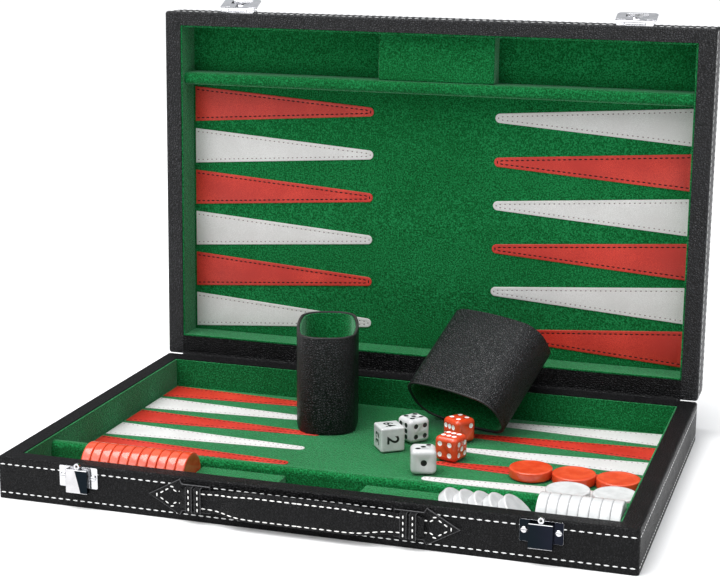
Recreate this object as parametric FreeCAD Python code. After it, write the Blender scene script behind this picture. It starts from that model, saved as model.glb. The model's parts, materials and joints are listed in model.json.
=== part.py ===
import FreeCAD, Part
import math
import os

# Backgammon set in an attache case. Millimetres, +Z up. Origin: centre of the base's underside.
# X runs along the width, the handle is on the -Y side and the hinge line on the +Y side.

V = FreeCAD.Vector

# ---- driving dimensions: case ----
case_width = 384.0
case_depth = 247.0
half_height = 26.0
skin = 0.8                 # leather cover
rim_width = 9.5            # front rim, with the leather
side_rim = 11.5            # side rims, with the leather
rear_rim = 13.5            # rim along the hinge, with the leather
panel_thick = 2.2          # hardboard bottom and top panels
corner_radius = 2.0        # upright corners of each half
edge_radius = 1.5          # outer edge of each rim
felt = 1.2                 # felt on the inner walls
felt_drop = 0.5            # felt starts this far below the rim
floor_felt = 1.0           # felt on the trough floor and on the board
field_drop = 20.0          # rim down to the playing field
point_thick = 0.5          # stitched point above the felt
open_angle = 91.0          # lid as it stands, from closed

# ---- divider, troughs and blocks ----
bar_width = 8.4
bar_drop = 3.5             # rim down to the top of the divider bar
bar_round = 3.5
trough_width = 32.0
block_height = 14.0        # trough floor up to the top of a block
base_block_inner = 25.0    # half the pocket between the base's two blocks
base_block_outer = 78.0
lid_block_low = -37.0
lid_block_high = 44.5

# ---- points ----
points_per_side = 6
point_width = 25.0
point_tip_x = 43.5         # from the centre line to the rounded tip
point_tip_radius = 3.2
point_gap = 1.6            # wide end to the lined side wall

# ---- handle ----
handle_z = half_height * 0.54     # centre of the handle above the underside
grip_half = 44.0
grip_width = 17.6
grip_thick = 6.0
strap_end_half = 73.0      # how far the strap's ends run out from the centre
strap_width = 13.0
strap_thick = 2.2
strap_stand = 1.5          # case front to the back of the grip
tab_thick = 1.2
tab_tip_x = 93.5
tab_shoulder_x = 74.0
tab_shoulder_half = 11.0
tab_neck_x = 72.4
tab_neck_half = 8.2
tab_inner_x = 55.0
keeper_band = 4.0
keeper_x = (61.5, 67.0)
keeper_thick = 0.9
keeper_gap = 0.3           # strap end to keeper

# ---- latches on the base front ----
latch_x = 138.5
plate_half = 12.25
plate_low_z = half_height - 13.6
plate_top_z = half_height - 0.8
plate_thick = 0.8
housing_half = 6.9
housing_low_z = half_height - 16.3
housing_top_z = half_height - 2.0
housing_proud = 3.3
housing_wall = 0.7
button_gap = 0.35          # slider to housing
button_low_z = half_height - 10.4
button_ring_z = half_height - 0.1
button_ring_radius = 1.8
button_hole_radius = 0.8
button_travel = 3.0
spring_wire = 0.35
spring_radius = 0.72
spring_turns = 7
screw_spread = 9.6         # screw centres from the latch centre
screw_z = half_height - 6.8
screw_radius = 1.0
screw_length = 6.0
screw_head_radius = 1.9
screw_head = 0.9
screw_clear = 0.1          # radial, in plates
pilot_clear = 0.05         # radial, in leather and wood

# ---- hasps on the lid front ----
hasp_plate_low = 1.0       # from the rim plane
hasp_plate_high = 13.6
hasp_axis_t = 4.0
hasp_axis_n = 2.1          # above the lid's leather
knuckle_radius = 1.3
hasp_pin_radius = 0.6
pin_clear = 0.05
tongue_half = 6.6
knuckle_gap = 0.35
flap_half = 13.5
flap_reach = 13.6
flap_thick = 0.8
flap_corner = 3.0
flap_neck = 1.8            # from the axis to the wide part of the flap
flap_lift = 0.45           # axis to the flap's inner face
dome_half = 8.2
dome_low = 5.8
dome_high = 12.4
dome_deep = 3.3
dome_taper = 1.2
slot_half = 2.6
slot_low = 1.9
slot_high = 8.2
hasp_tilt_left = 26.0
hasp_tilt_right = 20.0
hasp_screw_t = 10.6

# ---- dice cups ----
cup_long = 74.0
cup_thin = 41.6
cup_height = 66.0
cup_corner_radius = 15.0
cup_side_radius = 170.0        # the long sides bow out very slightly
cup_end_radius = 60.0
cup_wall = 2.0
cup_lining = 1.0
cup_base = 2.0
cup_base_up = 0.8
cup_lining_drop = 0.8
standing_cup_at = (-50.0, 68.0)
standing_cup_turn = 108.0
leaning_cup_mouth = (39.4, case_depth / 2 - 56.7, half_height - 3.2)
leaning_cup_azimuth = 23.4     # from +Y towards +X, mouth to closed end
leaning_cup_rise = 39.1
leaning_cup_roll = -2.1

# ---- checkers ----
checker_radius = 13.4
checker_thick = 5.9
checker_round = 0.7
rest_gap = 0.1             # loose flat piece above what it lies on
edge_gap = 0.25            # disc on edge above the felt
red_rack_gap = 34.4         # felt wall to the first red disc
red_rack_count = 11
red_pitch = 6.08
white_rack_gap = 48.0       # felt wall to the first white disc
white_rack_count = 8
white_pitch = 5.93
lean_angle = 45.0
lean_first_gap = 87.1       # felt wall to the foot of the first leaning disc
lean_count = 5
lean_pitch = 8.62
spare_red_gap = 16.9        # felt wall to the centre of the red disc lying flat
red_flat = ((106.5, -3.4), (133.9, -5.8), (161.2, -6.6))
white_flat = ((135.7, -34.8), (163.9, -34.2))

# ---- dice ----
die_size = 16.0
die_round = 3.2
pip_radius = 1.65
single_pip_radius = 2.0
pip_deep = 0.45
pip_spread = 3.5
six_spread = (3.0, 3.9)    # the six stands taller than it is wide
cube_size = 16.0
cube_round = 1.3
dice = {
    "die_white_front": (41.3, -16.1, 18.5),
    "die_white_back": (18.2, 42.0, 50.9),
    "die_red_front": (51.4, 12.9, 73.2),
    "die_red_back": (46.9, 50.1, 52.5),
}
cube_at = (8.4, 19.8, 35.9)

# ---- worked out ----
half_width = case_width / 2
hinge_y = case_depth / 2
front_y = -case_depth / 2
panel_t = half_height - skin - panel_thick      # rim down to the panel's inner face
inner_x = half_width - side_rim                 # inner face of the side rims
felt_x = inner_x - felt
bar_far = case_depth - rim_width - felt - trough_width
bar_near = bar_far - bar_width
field_near = rear_rim + felt
point_pitch = (bar_near - field_near) / points_per_side
field_z = half_height - field_drop
point_top_z = field_z + point_thick
trough_floor_z = half_height - panel_t + floor_felt
trough_y = hinge_y - bar_far - trough_width / 2
block_z = trough_floor_z + block_height
hinge_point = V(0, hinge_y, half_height)
nodes = {}


def add(name, shape):
    nodes[name] = shape


def box(x0, x1, y0, y1, z0, z1):
    return Part.makeBox(x1 - x0, y1 - y0, z1 - z0, V(x0, y0, z0))


def slab(half, x0, x1, s0, s1, t0, t1):
    """A box by distance s from the hinge edge and depth t below the rim of one half, closed."""
    if half == "base":
        return box(x0, x1, hinge_y - s1, hinge_y - s0, half_height - t1, half_height - t0)
    return box(x0, x1, hinge_y - s1, hinge_y - s0, half_height + t0, half_height + t1)


def edges_along(shape, axis, test):
    """Straight edges that run along axis and whose middle passes test."""
    found = []
    for edge in shape.Edges:
        a = edge.Vertexes[0].Point
        b = edge.Vertexes[-1].Point
        run = b.sub(a)
        if run.Length < 1e-6 or edge.Curve.TypeId != "Part::GeomLine":
            continue
        if abs(abs(run.normalize().dot(axis)) - 1) < 1e-6 and test((a + b) * 0.5):
            found.append(edge)
    return found


def lift_lid(shape):
    """Turn a piece made with the lid closed to where the lid stands."""
    turned = shape.copy()
    turned.rotate(hinge_point, V(1, 0, 0), -open_angle)
    return turned


def place(half, name, shape):
    if half == "lid":
        shape = lift_lid(shape)
    add(half + "_" + name, shape)


def front_screw_places(half):
    """Screw centres (x, z) on the front face of one half, with the lid closed."""
    z = screw_z if half == "base" else half_height + hasp_screw_t
    return [(side * latch_x + shift, z) for side in (-1, 1) for shift in (-screw_spread, screw_spread)]


def front_holes(half, radius):
    """Bores for the screws, through the leather and into the front rail."""
    bores = []
    for x, z in front_screw_places(half):
        bores.append(Part.makeCylinder(radius, screw_length + 0.6, V(x, front_y - 1, z), V(0, 1, 0)))
    return Part.makeCompound(bores)


def make_walls(half):
    t0, t1 = skin, panel_t
    far = case_depth - skin
    rails = [
        slab(half, skin - half_width, half_width - skin, case_depth - rim_width, far, t0, t1),
        slab(half, skin - half_width, half_width - skin, skin, rear_rim, t0, t1),
        slab(half, skin - half_width, -inner_x, rear_rim, case_depth - rim_width, t0, t1),
        slab(half, inner_x, half_width - skin, rear_rim, case_depth - rim_width, t0, t1),
    ]
    rails[0] = rails[0].cut(front_holes(half, screw_radius + pilot_clear))
    place(half, "walls", Part.makeCompound(rails))


def make_cover(half):
    """Leather over the outside and the rims, open over the hinge strip and under the panel."""
    outer = slab(half, -half_width, half_width, 0, case_depth, 0, half_height - skin)
    upright = edges_along(outer, V(0, 0, 1), lambda p: True)
    outer = outer.makeFillet(corner_radius, upright)
    rim = [e for e in outer.Edges if abs(e.CenterOfMass.z - half_height) < 1e-4]
    front_and_sides = [e for e in rim if e.CenterOfMass.y < hinge_y - 1e-3]
    outer = outer.makeFillet(edge_radius, [e for e in front_and_sides if e.Length > 3 * corner_radius])
    inside = slab(half, skin - half_width, half_width - skin, skin, case_depth - skin, skin, half_height)
    mouth = slab(half, -inner_x, inner_x, rear_rim, case_depth - rim_width, -1, half_height)
    strip = slab(half, -inner_x, inner_x, -1, rear_rim + 1, -1, skin)
    shell = outer.cut(inside).cut(mouth).cut(strip)
    shell = shell.cut(front_holes(half, screw_radius + pilot_clear))
    place(half, "cover", shell)


def make_panels(half):
    place(half, "panel", slab(half, skin - half_width, half_width - skin, skin, case_depth - skin,
                              panel_t, half_height - skin))
    sheet = slab(half, -half_width, half_width, 0, case_depth, half_height - skin, half_height)
    sheet = sheet.makeFillet(corner_radius, edges_along(sheet, V(0, 0, 1), lambda p: True))
    place(half, "outer_sheet", sheet)


def make_lining(half):
    ring = slab(half, -inner_x, inner_x, rear_rim, case_depth - rim_width, felt_drop, panel_t)
    ring = ring.cut(slab(half, -felt_x, felt_x, field_near, bar_far + trough_width, -1, half_height))
    floor = slab(half, -felt_x, felt_x, bar_far, bar_far + trough_width, panel_t - floor_felt, panel_t)
    place(half, "lining", ring.fuse(floor).removeSplitter())


def make_field(half):
    t = field_drop
    place(half, "field_board", slab(half, -felt_x, felt_x, field_near, bar_near, t + floor_felt, panel_t))
    place(half, "field_felt", slab(half, -felt_x, felt_x, field_near, bar_near, t, t + floor_felt))


def make_bar(half):
    bar = slab(half, -felt_x, felt_x, bar_near, bar_far, bar_drop, panel_t)
    sign = -1 if half == "base" else 1
    top_z = half_height + sign * bar_drop
    crest = edges_along(bar, V(1, 0, 0), lambda p: abs(p.z - top_z) < 1e-4)
    place(half, "divider_bar", bar.makeFillet(bar_round, crest))


def make_blocks():
    t0, t1 = half_height - block_z, panel_t - floor_felt
    s0, s1 = bar_far, bar_far + trough_width
    left = slab("base", -base_block_outer, -base_block_inner, s0, s1, t0, t1)
    right = slab("base", base_block_inner, base_block_outer, s0, s1, t0, t1)
    add("base_trough_blocks", Part.makeCompound([left, right]))
    place("lid", "trough_block", slab("lid", lid_block_low, lid_block_high, s0, s1, t0, t1))


def point_outline():
    """A tapered point, its wide end just clear of x=0, to its rounded tip, about y=0."""
    length = felt_x - point_tip_x
    centre = length - point_tip_radius
    wide = point_width / 2
    run = centre - point_gap
    lean = math.acos(point_tip_radius / math.hypot(wide, run)) - math.atan2(run, wide)
    touch_x = centre + point_tip_radius * math.sin(lean)
    touch_y = point_tip_radius * math.cos(lean)
    return [
        Part.makeLine(V(point_gap, -wide, 0), V(touch_x, -touch_y, 0)),
        Part.Arc(V(touch_x, -touch_y, 0), V(length, 0, 0), V(touch_x, touch_y, 0)).toShape(),
        Part.makeLine(V(touch_x, touch_y, 0), V(point_gap, wide, 0)),
        Part.makeLine(V(point_gap, wide, 0), V(point_gap, -wide, 0)),
    ]


def make_points(half):
    plate = Part.Face(Part.Wire(point_outline())).extrude(V(0, 0, point_thick))
    z = half_height - field_drop if half == "base" else half_height + field_drop - point_thick
    colours = {"red": [], "white": []}
    for side in (-1, 1):
        for row in range(points_per_side):
            piece = plate.copy()
            if side == 1:
                piece.rotate(V(0, 0, 0), V(0, 0, 1), 180)
            piece.translate(V(side * felt_x, hinge_y - field_near - point_pitch * (row + 0.5), z))
            even_is_red = (side == -1) == (half == "base")
            red = (row % 2 == 0) == even_is_red
            colours["red" if red else "white"].append(piece)
    for colour, pieces in colours.items():
        place(half, colour + "_points", Part.makeCompound(pieces))


def make_hinge_strips():
    """The leather fold between the halves, split at its fold line."""
    for half in ("base", "lid"):
        place(half, "hinge_strip", slab(half, -inner_x, inner_x, 0, rear_rim, 0, skin))


def make_handle():
    grip_y = front_y - strap_stand
    low, high = handle_z - grip_width / 2, handle_z + grip_width / 2
    grip = box(-grip_half, grip_half, grip_y - grip_thick, grip_y, low, high)
    rounds = edges_along(grip, V(1, 0, 0), lambda p: p.y < grip_y - 1)
    add("handle_grip", grip.makeFillet(2.5, rounds))
    ends = []
    tabs = []
    keepers = []
    strap_back = front_y - tab_thick - keeper_gap
    for side in (-1, 1):
        ends.append(box(*sorted((side * (grip_half + keeper_gap), side * strap_end_half)),
                        strap_back - strap_thick, strap_back,
                        handle_z - strap_width / 2, handle_z + strap_width / 2))
        outline = [
            (tab_inner_x, -tab_neck_half), (tab_neck_x, -tab_neck_half),
            (tab_shoulder_x, -tab_shoulder_half), (tab_tip_x, 0),
            (tab_shoulder_x, tab_shoulder_half), (tab_neck_x, tab_neck_half),
            (tab_inner_x, tab_neck_half), (tab_inner_x, -tab_neck_half),
        ]
        wire = Part.makePolygon([V(side * x, front_y, handle_z + z) for x, z in outline])
        tabs.append(Part.Face(wire).extrude(V(0, -tab_thick, 0)))
        for x in keeper_x:
            keepers.append(make_keeper(side * x))
    add("handle_strap_ends", Part.makeCompound(ends))
    add("handle_tabs", Part.makeCompound(tabs))
    add("handle_keepers", Part.makeCompound(keepers))


def make_keeper(x):
    """A band over the strap's end, its feet on the tab."""
    foot_y = front_y - tab_thick
    inner_half = strap_width / 2 + keeper_gap
    outer_half = inner_half + keeper_thick
    depth = 2 * keeper_gap + strap_thick
    x0, x1 = x - keeper_band / 2, x + keeper_band / 2
    band = box(x0, x1, foot_y - depth - keeper_thick, foot_y, handle_z - outer_half, handle_z + outer_half)
    rounds = edges_along(band, V(1, 0, 0), lambda p: p.y < foot_y - 1)
    band = band.makeFillet(0.8, rounds)
    return band.cut(box(x0 - 1, x1 + 1, foot_y - depth, foot_y + 1, handle_z - inner_half,
                        handle_z + inner_half))


def make_latch(side, name):
    x = side * latch_x
    face = front_y
    plate = box(x - plate_half, x + plate_half, face - plate_thick, face, plate_low_z, plate_top_z)
    plate = plate.makeFillet(0.8, edges_along(plate, V(0, 1, 0), lambda p: True))
    for shift in (-screw_spread, screw_spread):
        plate = plate.cut(Part.makeCylinder(screw_radius + screw_clear, 3,
                                            V(x + shift, face - 2, screw_z), V(0, 1, 0)))
    add("latch_plate_" + name, plate)
    back = face - plate_thick
    housing = box(x - housing_half, x + housing_half, back - housing_proud, back, housing_low_z,
                  housing_top_z)
    housing = housing.makeFillet(0.5, edges_along(housing, V(0, 0, 1), lambda p: p.y < back - 1))
    well = box(x - housing_half + housing_wall, x + housing_half - housing_wall,
               back - housing_proud + housing_wall, back + 1, housing_low_z + housing_wall,
               housing_top_z + 1)
    add("latch_housing_" + name, housing.cut(well))
    slide_half = housing_half - housing_wall - button_gap
    slide_front = back - housing_proud + housing_wall + button_gap
    slide_back = back - button_gap
    button = box(x - slide_half, x + slide_half, slide_front, slide_back, button_low_z,
                 housing_top_z - 0.3)
    mid_y = (slide_front + slide_back) / 2
    ring = Part.makeCylinder(button_ring_radius, slide_back - slide_front,
                             V(x, slide_front, button_ring_z), V(0, 1, 0))
    neck = box(x - 1.2, x + 1.2, slide_front, slide_back, housing_top_z - 1, button_ring_z - 1)
    button = button.fuse([neck, ring]).removeSplitter()
    button = button.cut(Part.makeCylinder(button_hole_radius, 6, V(x, slide_front - 2, button_ring_z),
                                          V(0, 1, 0)))
    add("latch_button_" + name, button)
    add("latch_spring_" + name, make_spring(x, mid_y))


def make_spring(x, y):
    low = housing_low_z + housing_wall + spring_wire / 2 + 0.05
    high = button_low_z - spring_wire / 2 - 0.05
    helix = Part.makeHelix((high - low) / spring_turns, high - low, spring_radius)
    profile = Part.Wire(Part.makeCircle(spring_wire / 2, V(spring_radius, 0, 0), V(0, 1, 0)))
    coil = Part.Wire(helix).makePipeShell([profile], True, True)
    coil.translate(V(x, y, low))
    return coil


def screw(x, z, head_y):
    """A round-head screw whose head sits on a face at head_y and whose shank runs along +Y."""
    head = Part.makeCylinder(screw_head_radius, screw_head, V(x, head_y - screw_head, z), V(0, 1, 0))
    crown = [e for e in head.Edges if abs(e.CenterOfMass.y - (head_y - screw_head)) < 1e-4]
    head = head.makeFillet(screw_head * 0.6, crown)
    shank = Part.makeCylinder(screw_radius, screw_length - 1, V(x, head_y, z), V(0, 1, 0))
    slot = box(x - screw_head_radius, x + screw_head_radius, head_y - screw_head - 1,
               head_y - screw_head * 0.5, z - 0.22, z + 0.22)
    return head.fuse(shank).removeSplitter().cut(slot)


def make_screws():
    head_y = front_y - plate_thick
    add("latch_screws", Part.makeCompound([screw(x, z, head_y) for x, z in front_screw_places("base")]))
    lid_screws = [screw(x, z, head_y) for x, z in front_screw_places("lid")]
    add("hasp_screws", lift_lid(Part.makeCompound(lid_screws)))


def make_hasp(side, name, tilt):
    """A hinged hasp on the lid's front, made with the lid closed and the flap folded up."""
    x = side * latch_x
    axis_y = front_y - hasp_axis_n
    axis_z = half_height + hasp_axis_t
    face = front_y
    plate = box(x - plate_half, x + plate_half, face - plate_thick, face,
                half_height + hasp_plate_low, half_height + hasp_plate_high)
    plate = plate.makeFillet(0.8, edges_along(plate, V(0, 1, 0), lambda p: True))
    for shift in (-screw_spread, screw_spread):
        plate = plate.cut(Part.makeCylinder(screw_radius + screw_clear, 3,
                                            V(x + shift, face - 2, half_height + hasp_screw_t),
                                            V(0, 1, 0)))
    ear = plate_half - tongue_half - knuckle_gap
    for x0 in (x - plate_half, x + tongue_half + knuckle_gap):
        knuckle = Part.makeCylinder(knuckle_radius, ear, V(x0, axis_y, axis_z), V(1, 0, 0))
        foot = box(x0, x0 + ear, axis_y, face - plate_thick, axis_z - knuckle_radius * 0.8,
                   axis_z + knuckle_radius * 0.8)
        plate = plate.fuse(knuckle.fuse(foot))
    bore = Part.makeCylinder(hasp_pin_radius, 2 * plate_half + 2, V(x - plate_half - 1, axis_y, axis_z),
                             V(1, 0, 0))
    plate = plate.removeSplitter().cut(bore)
    add("hasp_plate_" + name, lift_lid(plate))
    pin = Part.makeCylinder(hasp_pin_radius, 2 * plate_half, V(x - plate_half, axis_y, axis_z),
                            V(1, 0, 0))
    add("hasp_pin_" + name, lift_lid(pin))
    flap = make_flap(x, axis_y, axis_z)
    flap.rotate(V(x, axis_y, axis_z), V(1, 0, 0), tilt)
    add("hasp_flap_" + name, lift_lid(flap))


def make_flap(x, axis_y, axis_z):
    """The hasp's flap, folded up: a slotted plate with a pressed pocket towards the case."""
    inner = axis_y - flap_lift
    outer = inner - flap_thick
    sheet = box(x - flap_half, x + flap_half, outer, inner, axis_z + flap_neck, axis_z + flap_reach)
    sheet = sheet.makeFillet(flap_corner, edges_along(sheet, V(0, 1, 0), lambda p: p.z > axis_z + 9))
    tongue = box(x - tongue_half, x + tongue_half, outer, inner, axis_z, axis_z + flap_neck + 1)
    knuckle = Part.makeCylinder(knuckle_radius, 2 * tongue_half, V(x - tongue_half, axis_y, axis_z),
                                V(1, 0, 0))
    low, high = axis_z + dome_low, axis_z + dome_high
    pocket = tapered_box(x, dome_half, low, high, inner, inner + dome_deep, 0)
    hollow = tapered_box(x, dome_half, low, high, outer - 0.01, inner + dome_deep - flap_thick,
                         flap_thick)
    flap = sheet.fuse([tongue, knuckle, pocket]).removeSplitter().cut(hollow)
    bore = Part.makeCylinder(hasp_pin_radius + pin_clear, 3 * plate_half,
                             V(x - 1.5 * plate_half, axis_y, axis_z), V(1, 0, 0))
    slot = box(x - slot_half, x + slot_half, outer - 1, inner + dome_deep - flap_thick,
               axis_z + slot_low, axis_z + slot_high)
    return flap.cut(bore).cut(slot)


def tapered_box(x, half, low, high, y0, y1, inset):
    """A box from y0 to y1 that narrows by dome_taper on each side, inset on all four sides."""
    def ring(y, shrink):
        a, b = half - shrink, shrink
        corners = [V(x - a, y, low + b), V(x + a, y, low + b), V(x + a, y, high - b), V(x - a, y, high - b)]
        return Part.makePolygon(corners + corners[:1])
    return Part.makeLoft([ring(y0, inset), ring(y1, inset + dome_taper)], True, True)


def cup_wire(inset, z):
    """The cup's outline drawn inset from outside: rounded corners, sides and ends slightly bowed."""
    corner = cup_corner_radius
    side_up = cup_side_radius - cup_thin / 2
    end_out = cup_end_radius - cup_long / 2
    cx = cup_long / 2 - corner
    cy = cup_thin / 2 - corner
    for _ in range(40):
        cy = math.sqrt((cup_side_radius - corner) ** 2 - cx ** 2) - side_up
        cx = math.sqrt((cup_end_radius - corner) ** 2 - cy ** 2) - end_out
    r = corner - inset
    side_turn = math.atan2(cy + side_up, cx)
    end_turn = math.atan2(cy, cx + end_out)
    middle_turn = (side_turn + end_turn) / 2

    def on_corner(turn, sx, sy):
        return V(sx * (cx + r * math.cos(turn)), sy * (cy + r * math.sin(turn)), z)

    def corner_arc(first, last, sx, sy):
        return Part.Arc(on_corner(first, sx, sy), on_corner(middle_turn, sx, sy), on_corner(last, sx, sy))

    right = V(cup_long / 2 - inset, 0, z)
    top = V(0, cup_thin / 2 - inset, z)
    left = V(-right.x, 0, z)
    low = V(0, -top.y, z)
    arcs = [
        Part.Arc(on_corner(end_turn, 1, -1), right, on_corner(end_turn, 1, 1)),
        corner_arc(end_turn, side_turn, 1, 1),
        Part.Arc(on_corner(side_turn, 1, 1), top, on_corner(side_turn, -1, 1)),
        corner_arc(side_turn, end_turn, -1, 1),
        Part.Arc(on_corner(end_turn, -1, 1), left, on_corner(end_turn, -1, -1)),
        corner_arc(end_turn, side_turn, -1, -1),
        Part.Arc(on_corner(side_turn, -1, -1), low, on_corner(side_turn, 1, -1)),
        corner_arc(side_turn, end_turn, 1, -1),
    ]
    return Part.Wire([arc.toShape() for arc in arcs])


def cup_solid(inset, z0, z1):
    return Part.Face(cup_wire(inset, z0)).extrude(V(0, 0, z1 - z0))


def make_cup(name, placement):
    """A dice cup: wrapped wall, glued base and felt lining, made upright on its closed end."""
    base_top = cup_base_up + cup_base
    shell = cup_solid(0, 0, cup_height).cut(cup_solid(cup_wall, -1, cup_height + 1))
    base = cup_solid(cup_wall, cup_base_up, base_top)
    lining = cup_solid(cup_wall, base_top, cup_height - cup_lining_drop)
    lining = lining.cut(cup_solid(cup_wall + cup_lining, base_top + cup_lining, cup_height + 1))
    for piece, shape in (("shell", shell), ("base", base), ("lining", lining)):
        add(name + "_" + piece, moved(shape, placement))


def moved(shape, placement):
    copy = shape.copy()
    copy.Placement = placement.multiply(copy.Placement)
    return copy


def make_cups():
    upright = FreeCAD.Placement(V(*standing_cup_at, point_top_z + rest_gap),
                                FreeCAD.Rotation(V(0, 0, 1), standing_cup_turn))
    make_cup("cup_standing", upright)
    az, rise, roll = (math.radians(a) for a in (leaning_cup_azimuth, leaning_cup_rise, leaning_cup_roll))
    axis = V(math.sin(az) * math.cos(rise), math.cos(az) * math.cos(rise), math.sin(rise))
    level = axis.cross(V(0, 0, 1)).normalize()
    across = level.cross(axis)
    wide = level * math.cos(roll) + across * math.sin(roll)
    up = axis * -1
    thin = up.cross(wide)
    closed = V(*leaning_cup_mouth) + axis * cup_height
    turn = FreeCAD.Rotation(wide, thin, up, "XYZ")
    make_cup("cup_leaning", FreeCAD.Placement(closed, turn))


def checker():
    """A checker lying flat, its centre at the origin."""
    disc = Part.makeCylinder(checker_radius, checker_thick, V(0, 0, -checker_thick / 2))
    rims = [e for e in disc.Edges if e.Curve.TypeId == "Part::GeomCircle"]
    return disc.makeFillet(checker_round, rims)


def make_checkers():
    flat = checker()
    on_edge = checker()
    on_edge.rotate(V(0, 0, 0), V(0, 1, 0), 90)
    rack_z = trough_floor_z + checker_radius + edge_gap
    flat_z = point_top_z + rest_gap + checker_thick / 2

    def rack(first_x, count, pitch):
        made = []
        for i in range(count):
            disc = on_edge.copy()
            disc.translate(V(first_x + checker_thick / 2 + i * pitch, trough_y, rack_z))
            made.append(disc)
        return made

    def lying(places, z):
        made = []
        for x, y in places:
            disc = flat.copy()
            disc.translate(V(x, y, z))
            made.append(disc)
        return made

    spare_z = trough_floor_z + rest_gap + checker_thick / 2
    red = rack(red_rack_gap - felt_x, red_rack_count, red_pitch)
    red += lying([(spare_red_gap - felt_x, trough_y)], spare_z)
    add("checkers_red_rack", Part.makeCompound(red))
    add("checkers_red_board", Part.makeCompound(lying(red_flat, flat_z)))
    add("checkers_white_rack", Part.makeCompound(rack(felt_x - white_rack_gap, white_rack_count,
                                                         white_pitch)))
    add("checkers_white_board", Part.makeCompound(lying(white_flat, flat_z)))
    lean = math.radians(lean_angle)
    leaning = []
    for i in range(lean_count):
        disc = checker()
        disc.rotate(V(0, 0, 0), V(0, 1, 0), 90 - lean_angle)
        foot = V(felt_x - lean_first_gap + i * lean_pitch, trough_y, trough_floor_z + edge_gap)
        along = V(-math.sin(lean), 0, math.cos(lean)) * checker_radius
        through = V(math.cos(lean), 0, math.sin(lean)) * (checker_thick / 2)
        disc.translate(foot + along + through)
        leaning.append(disc)
    add("checkers_white_leaning", Part.makeCompound(leaning))


def pip_places(count):
    """Pip centres on a face, in the usual patterns."""
    d = pip_spread
    u, v = six_spread
    patterns = {
        1: [(0, 0)],
        2: [(-d, -d), (d, d)],
        3: [(-d, -d), (0, 0), (d, d)],
        4: [(-d, -d), (-d, d), (d, -d), (d, d)],
        5: [(-d, -d), (-d, d), (0, 0), (d, -d), (d, d)],
        6: [(-u, -v), (-u, 0), (-u, v), (u, -v), (u, 0), (u, v)],
    }
    return patterns[count]


def die(faces, six_turned):
    """A die about its centre. faces gives the pips on +Z, -Y and +X; the opposite faces make seven."""
    h = die_size / 2
    cube = box(-h, h, -h, h, -h, h)
    cube = cube.makeFillet(die_round, cube.Edges)
    top, front, right = faces
    turned = {
        top: FreeCAD.Rotation(),
        7 - top: FreeCAD.Rotation(V(1, 0, 0), 180),
        front: FreeCAD.Rotation(V(1, 0, 0), 90),
        7 - front: FreeCAD.Rotation(V(1, 0, 0), -90),
        right: FreeCAD.Rotation(V(0, 1, 0), 90),
        7 - right: FreeCAD.Rotation(V(0, 1, 0), -90),
    }
    drills = []
    for count, turn in turned.items():
        radius = single_pip_radius if count == 1 else pip_radius
        sphere_radius = (radius ** 2 + pip_deep ** 2) / (2 * pip_deep)
        for u, v in pip_places(count):
            if count == 6 and six_turned:
                u, v = -v, u
            centre = turn.multVec(V(u, v, h + sphere_radius - pip_deep))
            drills.append(Part.makeSphere(sphere_radius, centre))
    return cube.cut(Part.makeCompound(drills))


def make_dice():
    shown = {
        "die_white_front": ((3, 1, 5), False),
        "die_white_back": ((5, 4, 1), True),
        "die_red_front": ((6, 5, 3), False),
        "die_red_back": ((4, 2, 1), False),
    }
    for name, (x, y, turn) in dice.items():
        piece = die(*shown[name])
        piece.rotate(V(0, 0, 0), V(0, 0, 1), turn)
        piece.translate(V(x, y, point_top_z + rest_gap + die_size / 2))
        add(name, piece)
    h = cube_size / 2
    cube = box(-h, h, -h, h, -h, h)
    cube = cube.makeFillet(cube_round, cube.Edges)
    x, y, turn = cube_at
    cube.rotate(V(0, 0, 0), V(0, 0, 1), turn)
    cube.translate(V(x, y, point_top_z + rest_gap + h))
    add("doubling_cube", cube)


def main():
    for half in ("base", "lid"):
        make_walls(half)
        make_cover(half)
        make_panels(half)
        make_lining(half)
        make_field(half)
        make_bar(half)
        make_points(half)
    make_blocks()
    make_hinge_strips()
    make_handle()
    for side, name, tilt in ((-1, "left", hasp_tilt_left), (1, "right", hasp_tilt_right)):
        make_latch(side, name)
        make_hasp(side, name, tilt)
    make_screws()
    make_cups()
    make_checkers()
    make_dice()
    os.makedirs("parts", exist_ok=True)
    for name, shape in nodes.items():
        shape.exportStep("parts/" + name + ".step")
        print(name, len(shape.Solids), round(shape.Volume, 1), shape.isValid())
    print(len(nodes), "nodes")


main()
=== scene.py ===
import json
import math

import bmesh
import bpy
import numpy as np
from mathutils import Matrix, Vector

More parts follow.
